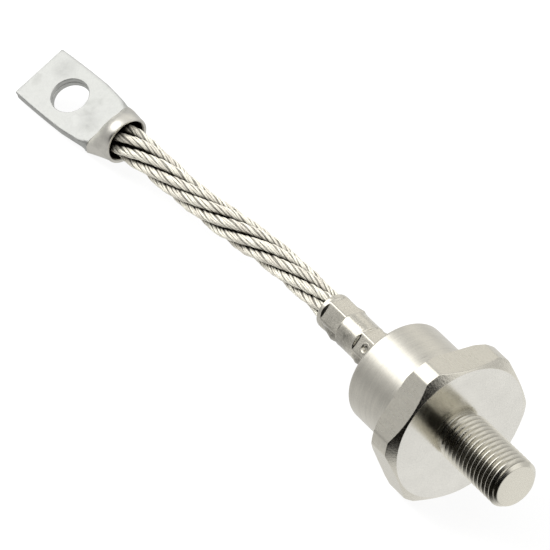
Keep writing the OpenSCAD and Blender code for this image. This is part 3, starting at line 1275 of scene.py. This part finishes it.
    def outside(self) -> list[list[Vector]]:
        """Gives the outside.

        Returns:
            Its sections, from the mouth to the tip.
        """
        radius, steps = self.mouth_d / 2, 16
        rows = [self.ring(radius - inset, along) for inset, along in self.MOUTH_OUT]
        last = self.ring(radius, self.mouth_l)
        rows.append(last)
        crease = self.pressed(self.crease_w, self.crease_t, self.barrel_l, self.edge_round(0.0))
        for step in range(1, steps):
            share = step / steps
            row = [first.lerp(second, share) for first, second in zip(last, crease)]
            for spot, first, second in zip(row, last, crease):
                if first.x > 0.0:
                    power = 1.0 + self.bulge * min(1.0, 2.0 * first.x / radius)
                    spot.x = first.x + (second.x - first.x) * share**power
            rows.append(row)
        thick = self.crease_t - self.groove
        rows.append(self.pressed(self.crease_w, thick, self.barrel_l, self.corner_r, -self.groove))
        for past in self.PAST:
            share = min(1.0, past / self.taper_l)
            wide = self.crease_w + (self.palm_w - self.crease_w) * share + self.bow(past)
            thick = self.crease_t + (self.palm_t - self.crease_t) * share
            rows.append(self.pressed(wide, thick, self.barrel_l + past, self.edge_round(past)))
        wide, tip = self.palm_w + self.bow(self.palm_l), self.barrel_l + self.palm_l
        for inset, back in self.TIP:
            rows.append(self.pressed(wide - 2 * inset, self.palm_t - 2 * inset, tip - back, self.face_r, -inset))
        return rows

    def crease_mid(self, along: float) -> float:
        """Gives the height of the middle of the tube at a place along it."""
        return -self.crease_t / 2 * min(1.0, along / self.barrel_l)

    def inside(self) -> list[list[Vector]]:
        """Gives the inside.

        Returns:
            Its sections, from the mouth to where the walls meet.
        """
        bore, steps = self.mouth_d / 2 - self.wall, 8
        slot_w, slot_t = self.crease_w - 2 * self.wall, self.crease_t - 2 * self.wall
        rows = [self.ring(bore + wider, along) for wider, along in (*self.MOUTH_IN, (0.0, self.mouth_l + 0.3))]
        slot = self.pressed(slot_w, slot_t, self.barrel_l, 0.2, -self.wall)
        last = rows[-1]
        for step in range(1, steps + 1):
            rows.append([first.lerp(second, step / steps) for first, second in zip(last, slot)])
        end = self.barrel_l + self.taper_l - self.wall
        rows.append(self.pressed(slot_w, 0.06, end, 0.01, -self.palm_t / 2 + 0.03))
        return rows

    def spotted(self, finish: MattTin, dark_spots: Sequence[Triple]) -> MattTin:
        """Gives a finish dark spots, each at a place along and across the lug and with a reach."""
        spots = [(self.seat.matrix() @ Vector((0.0, across, along)), reach) for along, across, reach in dark_spots]
        return replace(finish, dark_spots=spots)

    def hole_outline(self) -> list[Point]:
        """Gives the outline of the punched hole, with eased edges and a step between the two layers.

        Returns:
            Radius and height of each point.
        """
        reach, middle, past = self.hole_d / 2, -self.palm_t / 2, 1.0
        return [
            (0.0, -self.palm_t - past),
            (reach + past, -self.palm_t - past),
            (reach - self.layer_step, -self.palm_t + self.hole_edge),
            (reach - self.layer_step, middle - 0.05),
            (reach + 0.1, middle),
            (reach, middle + 0.06),
            (reach, -self.hole_edge),
            (reach + past + self.hole_edge, past),
            (0.0, past),
        ]

    def build(self, axis: StudAxis) -> Thing:
        """Builds and dresses the lug.

        Args:
            axis: The stud's axis.

        Returns:
            The lug's object.
        """
        bm = bmesh.new()
        first = self.ring(self.mouth_d / 2 - 0.35, 0.0)
        mouth = bmesh.ops.create_circle(bm, cap_ends=False, segments=len(first), radius=1.0)["verts"]
        for vert, spot in zip(mouth, first):
            vert.co = spot
        for rows in (self.outside(), self.inside()):
            ring = mouth
            for row in rows:
                ring = MeshShop.drawn_on(bm, ring, row)
            bmesh.ops.edgeloop_fill(bm, edges=MeshShop.loop_edges(ring))
        place = axis.place() @ self.seat.matrix()
        thing = MeshShop.placed(bm, "pressed_lug", place, self.sharp)
        cutter = MeshShop.spun(Profile(self.hole_outline(), 0.03, 2).outline(), self.hole_steps, closed=False)
        hole = Matrix.Translation((0, 0, self.barrel_l + self.palm_l - self.hole_to_tip))
        hole_place = place @ hole @ Matrix.Rotation(math.pi / 2, 4, "Y")
        MeshShop.cut(thing, MeshShop.placed(cutter, "hole_cutter", hole_place, self.sharp), self.sharp)
        thing.data.materials.clear()
        palm = self.spotted(self.finish, self.dark_spots)
        for finish in (palm, self.spotted(self.tube_finish, self.tube_stains), self.bore_shade_finish):
            thing.data.materials.append(finish.material(axis))
        inward = place.inverted()
        for face in thing.data.polygons:
            middle, way = inward @ face.center, inward.to_3x3() @ face.normal
            if middle.z < self.barrel_l + 0.02:
                inner = way.x * (middle.x - self.crease_mid(middle.z)) + way.y * middle.y < 0.0
                face.material_index = (LugFace.BORE if inner and middle.z > 0.25 else LugFace.TUBE).value
        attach(thing, "root")
        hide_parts("lug")
        return thing


@dataclass
class RopeLead:
    """Bare rope of six strands round a core, each strand of many wires."""

    seat: LugSeat = LugSeat()
    diameter: float = 5.4
    exit_z: float = 38.0
    route: Sequence[Triple] = (
        (0.0, 0.0, 28.8),
        (0.0, 0.0, 37.0),
        (0.12, 0.12, 42.0),
        (0.14, 0.0, 49.0),
        (0.0, -0.3, 56.0),
        (-0.27, -0.97, 62.0),
        (-0.53, -1.68, 67.6),
        (-0.64, -2.35, 73.0),
        (-0.7, -3.0, 79.0),
        (-0.55, -3.45, 84.0),
        (-0.4, -3.9, 89.0),
    )
    girth: Levels = (
        (38.0, 1.0),
        (46.0, 1.02),
        (52.0, 1.05),
        (62.0, 1.12),
        (67.0, 1.15),
        (72.0, 1.04),
        (78.0, 0.98),
        (82.0, 1.05),
        (88.0, 1.12),
        (92.0, 1.25),
        (96.0, 1.38),
        (101.0, 1.3),
    )
    strands: int = 6
    wires: int = 9
    strand_lay: float = 45.0
    wire_lay: float = 8.6
    unruly: float = 0.17
    strand_hand: Lay = Lay.LEFT
    wire_hand: Lay = Lay.RIGHT
    strand_start: float = 10.0
    reach_in: float = 4.6
    samples: int = 170
    press: Point = (0.2, 4.6)
    flatten: float = 0.62
    sink: float = 1.45
    spread: float = 0.02
    gather: Point = (-6.0, 0.5)
    gathered: float = 0.08
    # Where the painted shade fades out between wires, between strands, and along the lug's axis at its mouth
    strand_shade: Point = (0.71, 0.90)
    rope_shade: Point = (0.64, 0.86)
    mouth_shade: Point = (-0.6, 0.9)
    finish: TinnedWire = TinnedWire("tinned_wire")
    line: list[Vector] = field(default_factory=list)
    across: list[tuple[Vector, Vector]] = field(default_factory=list)

    # Turn with the run, turn with the wire's number, start and share of the waves in which a wire strays
    WAVES = ((0.31, 2.399, 0.0, 0.6), (0.77, 5.13, 1.3, 0.4))

    def spline(self) -> list[Vector]:
        """Draws a smooth line through the route's points and into the lug.

        Returns:
            Points along the line, closer together than the samples.
        """
        mouth, steps = self.seat.matrix(), 24
        knots = [Vector(spot) for spot in self.route]
        knots += [mouth @ Vector((0, 0, 0)), mouth @ Vector((0, 0, self.reach_in))]
        knots = [2 * knots[0] - knots[1], *knots, 2 * knots[-1] - knots[-2]]
        fine = []
        for before, start, stop, after in zip(knots, knots[1:], knots[2:], knots[3:]):
            bend = 2 * before - 5 * start + 4 * stop - after
            twist = 3 * start - before - 3 * stop + after
            for share in (step / steps for step in range(steps)):
                fine.append(0.5 * (2 * start + (stop - before) * share + bend * share**2 + twist * share**3))
        return [*fine, knots[-2]]

    def lay_out(self) -> None:
        """Draws the centreline at even steps, and the two directions across it at each point."""
        fine, runs, index = self.spline(), [0.0], 0
        for first, second in zip(fine, fine[1:]):
            runs.append(runs[-1] + (second - first).length)
        last = self.samples - 1
        for sample in range(self.samples):
            goal = runs[-1] * sample / last
            while index < len(runs) - 2 and runs[index + 1] < goal:
                index += 1
            share = (goal - runs[index]) / max(runs[index + 1] - runs[index], 1e-9)
            self.line.append(fine[index].lerp(fine[index + 1], share))
        side = Vector((1, 0, 0))
        for sample in range(self.samples):
            ahead = (self.line[min(sample + 1, last)] - self.line[max(sample - 1, 0)]).normalized()
            side = (side - ahead * side.dot(ahead)).normalized()
            self.across.append((side.copy(), ahead.cross(side)))

    def length(self) -> float:
        """Gives the length of the centreline."""
        return sum((second - first).length for first, second in zip(self.line, self.line[1:]))

    def strand_angle(self, strand: int, run: float) -> float:
        """Gives a strand's angle about the rope at a run along it."""
        turned = self.strand_hand.value * math.tau * run / self.strand_lay
        return math.radians(self.strand_start) + math.tau * strand / self.strands + turned

    def strand_centre(self, strand: int, sample: int, run: float) -> Vector:
        """Gives the middle of a strand at one sample of the centreline.

        Args:
            strand: Number of the strand.
            sample: Number of the sample.
            run: Distance of the sample along the centreline.

        Returns:
            The strand's middle.
        """
        (side, up), angle = self.across[sample], self.strand_angle(strand, run)
        reach = self.diameter / 3 * self.girth_at(self.line[sample].z)
        return self.line[sample] + (side * math.cos(angle) + up * math.sin(angle)) * reach

    def wire_path(self, strand: int, wire: int, step: float) -> list[Vector]:
        """Gives the line of one wire in one strand.

        Args:
            strand: Number of the strand, or -1 for the core of the rope.
            wire: Number of the wire, or -1 for the middle of the strand.
            step: Distance between the samples of the centreline.

        Returns:
            The points of the wire's own line.
        """
        ring = 0.0 if wire < 0 else self.diameter / 6 - self.wire_radius()
        number, spots = strand * 7.0 + wire, []
        for sample, (spot, (side, up)) in enumerate(zip(self.line, self.across)):
            run = step * sample
            angle = self.strand_angle(max(strand, 0), run)
            out = side * math.cos(angle) + up * math.sin(angle)
            along = up * math.cos(angle) - side * math.sin(angle)
            turn = math.tau * max(wire, 0) / self.wires + self.wire_hand.value * math.tau * run / self.wire_lay
            turn += 1.7 * max(strand, 0) + self.wander(number, run) * 1.6
            loose = ring * (1.0 + 0.6 * self.wander(number + 50.0, run))
            centre = spot if strand < 0 else self.strand_centre(strand, sample, run)
            spots.append(centre + (out * math.cos(turn) + along * math.sin(turn)) * loose)
        return spots

    def girth_at(self, height: float) -> float:
        """Gives how wide the rope is at a height along the stud's axis.

        Args:
            height: The height.

        Returns:
            The width as a share of the rope's diameter.
        """
        low = self.girth[0]
        for high in self.girth[1:]:
            if height < high[0]:
                return low[1] + (high[1] - low[1]) * smooth_step(low[0], high[0], height)
            low = high
        return low[1]

    def wander(self, number: float, run: float) -> float:
        """Gives how far a wire strays from its even lay at a run, within the rope's unruliness."""
        waves = (share * math.sin(run * a + number * b + start) for a, b, start, share in self.WAVES)
        return self.unruly * sum(waves)

    def wire_radius(self) -> float:
        """Gives the radius of one wire."""
        return self.diameter / 6 * (1.0 - 1.0 / (1 + math.sin(math.pi / self.wires)))

    def splayed(self, spot: Vector) -> Vector:
        """Spreads and presses the strands where they go into the lug.

        Args:
            spot: Point of a wire on the stud's axis.

        Returns:
            The moved point.
        """
        matrix = self.seat.matrix()
        own = matrix.inverted() @ spot
        pressed = smooth_step(*self.press, own.z)
        own.y *= 1.0 + self.spread * pressed
        own.x *= 1.0 - self.gathered * smooth_step(*self.gather, own.z) - self.flatten * pressed
        own.x -= self.sink * pressed
        return matrix @ own

    def wound(self, step: float) -> Mesh:
        """Winds the wires round the centreline.

        Args:
            step: Distance between the samples of the centreline.

        Returns:
            The open tubes of all wires on the stud's axis, in millimetres, with painted gap shade and wire tones
            written on them.
        """
        curve = bpy.data.curves.new("rope_lead", "CURVE")
        curve.dimensions, curve.bevel_depth, curve.bevel_resolution = "3D", self.wire_radius(), 2
        thick = self.diameter / 6 / self.wire_radius()
        lines = [(strand, wire) for strand in range(self.strands) for wire in range(-1, self.wires)] + [(-1, -1)]
        for strand, wire in lines:
            spots = self.wire_path(strand, wire, step)
            spline = curve.splines.new("POLY")
            spline.points.add(len(spots) - 1)
            for point, spot in zip(spline.points, spots):
                point.co = (*spot, 1.0)
                point.radius = 1.0 if wire >= 0 else thick * (0.95 if strand < 0 else 0.78)
        holder = MeshShop.shown("rope_line", curve)
        mesh = MeshShop.settled(holder)
        bpy.data.objects.remove(holder)
        bpy.data.curves.remove(curve)
        mesh.name = "rope_lead"
        self.paint_gap_shade(mesh, len(lines), step)
        return mesh

    def paint_gap_shade(self, mesh: Mesh, lines: int, step: float) -> None:
        """Writes how far each vertex is out of the painted shade between wires, between strands and inside the
        lug's mouth, and a tone for each wire.

        Args:
            mesh: The rope's mesh on the stud's axis, in millimetres, before it is spread.
            lines: Number of wires and cores that it holds, in order.
            step: Distance between the samples of the centreline.
        """
        unshaded, tones = [], []
        each = len(mesh.vertices) // lines
        ring = each // self.samples
        inward = self.seat.matrix().inverted()
        for number, vert in enumerate(mesh.vertices):
            line, sample = number // each, number % each // ring
            strand = line // (self.wires + 1)
            middle = self.line[sample]
            centre = middle if strand >= self.strands else self.strand_centre(strand, sample, step * sample)
            wide = self.girth_at(middle.z) * self.diameter / 3 + self.diameter / 6
            in_strand = smooth_step(*self.strand_shade, (vert.co - centre).length / (self.diameter / 6))
            in_rope = smooth_step(*self.rope_shade, (vert.co - middle).length / wide)
            # Painted shade on the rope where it goes into the lug
            open_air = 1.0 - smooth_step(*self.mouth_shade, (inward @ vert.co).z)
            unshaded.append(in_strand * in_rope * open_air)
            tones.append((math.sin(line * 12.9898) * 43758.5453) % 1.0)
        for name, values in (("unshaded", unshaded), ("wire_tone", tones)):
            mesh.attributes.new(name, "FLOAT", "POINT").data.foreach_set("value", values)

    def build(self, axis: StudAxis, lug: Thing) -> Thing:
        """Args:
            axis: The stud's axis.
            lug: The lug's object, which is on the rope's far end; not used.

        Returns:
            The rope's object.
        """
        self.lay_out()
        mesh = self.wound(self.length() / (self.samples - 1))
        place = axis.place()
        bm = bmesh.new()
        bm.from_mesh(mesh)
        bmesh.ops.holes_fill(bm, edges=[edge for edge in bm.edges if edge.is_boundary], sides=0)
        for vert in bm.verts:
            vert.co = place @ self.splayed(vert.co)
        bmesh.ops.recalc_face_normals(bm, faces=bm.faces)
        bm.to_mesh(mesh)
        bm.free()
        mesh.polygons.foreach_set("use_smooth", [True] * len(mesh.polygons))
        mesh.materials.clear()
        mesh.materials.append(self.finish.material(axis))
        thing = MeshShop.shown("rope_lead", mesh)
        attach(thing, "root")
        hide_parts("lead")
        self.length() * MM
        return thing


@dataclass
class InnerStack:
    """The pieces inside the case, which keep their shapes and get their finishes."""

    finishes: dict[str, Finish] = field(
        default_factory=lambda: {
            "weld_ring": InnerMetal("ring_steel", (0.56, 0.56, 0.54), 0.4),
            "seal_glass": FusedGlass("fused_glass"),
            "seal_tube": InnerMetal("seal_alloy", (0.68, 0.66, 0.60), 0.3),
            "lower_disc": InnerMetal("lower_molybdenum", (0.50, 0.51, 0.55), 0.38),
            "silicon_wafer": InnerMetal("silicon", (0.20, 0.21, 0.25), 0.15),
            "upper_disc": InnerMetal("upper_molybdenum", (0.50, 0.51, 0.55), 0.38),
            "contact_cup": InnerMetal("cup_copper", (0.74, 0.42, 0.27), 0.3),
            "inner_lead": InnerMetal("lead_copper", (0.74, 0.42, 0.27), 0.34),
        }
    )

    def dress(self, nodes: dict[str, Thing], axis: StudAxis) -> None:
        """Gives each inner piece its material.

        Args:
            nodes: The frame's objects by name.
            axis: The stud's axis.
        """
        for name, finish in self.finishes.items():
            mesh = nodes[name].data
            mesh.materials.clear()
            mesh.materials.append(finish.material(axis))
            LOG.info("dressed %s", name)


@dataclass
class Studio:
    """Pale floor, soft light and the camera at the photograph's viewing angle."""

    image_px: float = 550.0
    focal_px: float = 5840.47
    sensor_mm: float = 36.0
    eye: Triple = (577.8, -553.3, -583.8)
    right: Triple = (0.1543, 0.8119, -0.5630)
    ahead: Triple = (-0.5669, 0.5395, 0.6226)
    lights: Sequence[tuple[Triple, Levels]] = (
        ((-0.62, -0.416, 0.666), ((0.0, 1.6), (16.0, 1.6), (27.0, 0.0))),
        ((-0.62, 0.61, 0.49), ((0.0, 0.24), (7.0, 0.22), (20.0, 0.0))),
        ((0.15, -0.35, 0.92), ((0.0, 0.5), (22.0, 0.42), (42.0, 0.0))),
        ((0.66, 0.25, 0.71), ((0.0, 0.4), (18.0, 0.36), (36.0, 0.0))),
    )
    darks: Sequence[tuple[Triple, Levels]] = (
        ((0.90, -0.43, 0.06), ((0.0, 0.004), (30.0, 0.012), (50.0, 1.0))),
        ((0.2, -0.97, 0.1), ((0.0, 0.01), (30.0, 0.03), (46.0, 1.0))),
        ((0.80, -0.45, 0.40), ((0.0, 0.01), (20.0, 0.03), (34.0, 1.0))),
    )
    side_way: Triple = (-0.1, 0.8, 0.5)
    side_levels: Levels = ((0.0, 0.64), (60.0, 0.63), (105.0, 0.56), (180.0, 0.56))
    # The floor's glow in reflections: darker towards the part, a painted shadow
    floor_way: Triple = (0.62, 0.54, -0.57)
    floor_levels: Levels = ((0.0, 0.9), (55.0, 0.9), (78.0, 0.78), (107.0, 0.78), (122.0, 0.57), (140.0, 0.42))
    floor_size: float = 3.0
    floor_glow: float = 0.9
    floor_shade: float = 0.16
    floor_matt: float = 0.8
    key_power: float = 6.8
    key_size: float = 0.5
    key_far: float = 0.9

    def camera(self, axis: StudAxis) -> None:
        """Sets the camera.

        Args:
            axis: The stud's axis, which the camera's place is given on.
        """
        turn = axis.place().to_3x3().normalized()
        ahead = (turn @ Vector(self.ahead)).normalized()
        right = turn @ Vector(self.right)
        right = (right - ahead * right.dot(ahead)).normalized()
        data = bpy.data.cameras.new("camera")
        data.sensor_width = self.sensor_mm
        data.lens = self.focal_px / self.image_px * self.sensor_mm
        data.clip_start, data.clip_end = 0.05, 20.0
        matrix = Matrix((right, right.cross(ahead), -ahead)).transposed().to_4x4()
        matrix.translation = axis.point(self.eye)
        camera = MeshShop.shown("camera", data)
        camera.matrix_world = matrix
        bpy.context.scene.camera = camera

    def lobe(self, bench: NodeBench, looking: Socket, way: Triple, levels: Levels) -> Socket:
        """Grades the surroundings by the angle from one direction, a little warm where they are dark.

        Args:
            bench: Nodes of the world or the floor.
            looking: Socket of the direction that is looked in.
            way: The direction that the angles are counted from.
            levels: Angles in degrees from it, and the level at each, in order.

        Returns:
            The graded colour's socket.
        """
        feeds = {0: looking, 1: Vector(way).normalized()}
        along = bench.add("VectorMath", feeds, operation="DOT_PRODUCT").outputs["Value"]
        share = bench.math("DIVIDE", bench.math("ARCCOSINE", along), math.pi)
        stops = []
        for degrees, level in levels:
            warm = 0.25 * max(0.0, 0.4 - level)
            stops.append((degrees / 180.0, (level * (1 + warm), level, level * (1 - 2.4 * warm), 1.0)))
        return bench.ramp(share, stops, "EASE")

    def shaded(self, bench: NodeBench, looking: Socket, colour: Socket) -> Socket:
        """Darkens a colour on the dark sides of the room.

        Args:
            bench: Nodes of the world or the floor.
            looking: Socket of the direction that is looked in.
            colour: Socket of the colour.

        Returns:
            The darkened colour's socket.
        """
        for way, levels in self.darks:
            colour = bench.blend(1.0, colour, self.lobe(bench, looking, way, levels), "MULTIPLY")
        return colour

    def floor(self, height: float) -> None:
        """Lays the floor: white to the camera, and in reflections a glow graded by where it is seen from the seat,
        with painted shadow near the part.

        Args:
            height: Height of the surface that the part lies on.
        """
        bm = bmesh.new()
        bmesh.ops.create_grid(bm, x_segments=1, y_segments=1, size=self.floor_size)
        bmesh.ops.translate(bm, verts=bm.verts, vec=(0, 0, height))
        floor = MeshShop.shown("floor", MeshShop.written(bm, "floor"))
        material = bpy.data.materials.new("white_floor")
        material.use_nodes = True
        material.node_tree.nodes.clear()
        bench = NodeBench(material.node_tree)
        rays = bench.add("LightPath").outputs
        coords = bench.add("TexCoord").outputs["Object"]
        looking = bench.add("VectorMath", {0: coords}, operation="NORMALIZE").outputs["Vector"]
        painted_floor_glow = self.shaded(bench, looking, self.lobe(bench, looking, self.floor_way, self.floor_levels))
        mirrored = bench.add("Emission", {"Color": painted_floor_glow}).outputs[0]
        matt = bench.add("BsdfDiffuse", {"Color": grey(self.floor_matt)}).outputs[0]
        rest = bench.add("MixShader", {0: rays["Is Glossy Ray"], 1: matt, 2: mirrored}).outputs[0]
        pale = bench.add("BsdfDiffuse", {"Color": grey(self.floor_shade)}).outputs[0]
        glow = bench.add("Emission", {"Strength": self.floor_glow}).outputs[0]
        seen = bench.add("AddShader", {0: pale, 1: glow}).outputs[0]
        mix = bench.add("MixShader", {0: rays["Is Camera Ray"], 1: rest, 2: seen}).outputs[0]
        bench.add("OutputMaterial", {"Surface": mix})
        floor.data.materials.append(material)
        floor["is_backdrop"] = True

    def world(self) -> None:
        """Makes the surroundings: plain to the camera, a room with bright and dark sides to the rest."""
        world = bpy.data.worlds.new("room")
        bpy.context.scene.world = world
        world.use_nodes = True
        world.node_tree.nodes.clear()
        bench = NodeBench(world.node_tree)
        looking = bench.add("TexCoord").outputs["Generated"]
        lit = self.lobe(bench, looking, self.side_way, self.side_levels)
        for way, levels in self.lights:
            lit = bench.blend(1.0, lit, self.lobe(bench, looking, way, levels), "ADD")
        room = bench.add("Background", {"Color": self.shaded(bench, looking, lit)}).outputs[0]
        seen = bench.add("Background").outputs[0]
        ray = bench.add("LightPath").outputs["Is Camera Ray"]
        bench.add("OutputWorld", {"Surface": bench.add("MixShader", {0: ray, 1: room, 2: seen}).outputs[0]})

    def key_lamp(self, middle: Vector) -> None:
        """Hangs a soft lamp that faces the part, in the direction of the first light.

        Args:
            middle: Middle of the part.
        """
        data = bpy.data.lights.new("key_lamp", "AREA")
        data.shape, data.size, data.energy = "SQUARE", self.key_size, self.key_power
        way = Vector(self.lights[0][0]).normalized()
        lamp = MeshShop.shown("key_lamp", data)
        turn = way.to_track_quat("Z", "Y").to_matrix().to_4x4()
        lamp.matrix_world = Matrix.Translation(middle + way * self.key_far) @ turn
        lamp.visible_glossy = False

    def build(self, axis: StudAxis, box: Sequence[Sequence[float]]) -> None:
        """Sets up the whole studio.

        Args:
            axis: The stud's axis.
            box: Lowest and highest corner of the part.
        """
        bpy.context.scene.view_settings.view_transform = "Standard"
        self.camera(axis)
        self.floor(box[0][2])
        self.world()
        self.key_lamp(Vector([(low + high) / 2 for low, high in zip(*box)]))


def plain(box: Iterable[Iterable[float]]) -> list[list[float]]:
    """Turns a box's corners into plain lists."""
    return [[float(number) for number in corner] for corner in box]


def main() -> None:
    """Builds the studio round the part's box, and every piece."""
    logging.basicConfig(level=logging.INFO, format="%(name)s: %(message)s")
    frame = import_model()
    cad_box = plain(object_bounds())
    axis = StudAxis.from_record(frame["record"])
    Studio().build(axis, cad_box)
    LOG.info("studio ready")
    lug = Lug().build(axis)
    rope = RopeLead().build(axis, lug)
    for thing in (lug, rope, StudBase().build(axis), CaseCap().build(axis), Ferrule().build(axis)):
        LOG.info("built %s with %d faces", thing.name, len(thing.data.polygons))
    InnerStack().dress(frame["nodes"], axis)


if __name__ == "__main__":
    main()
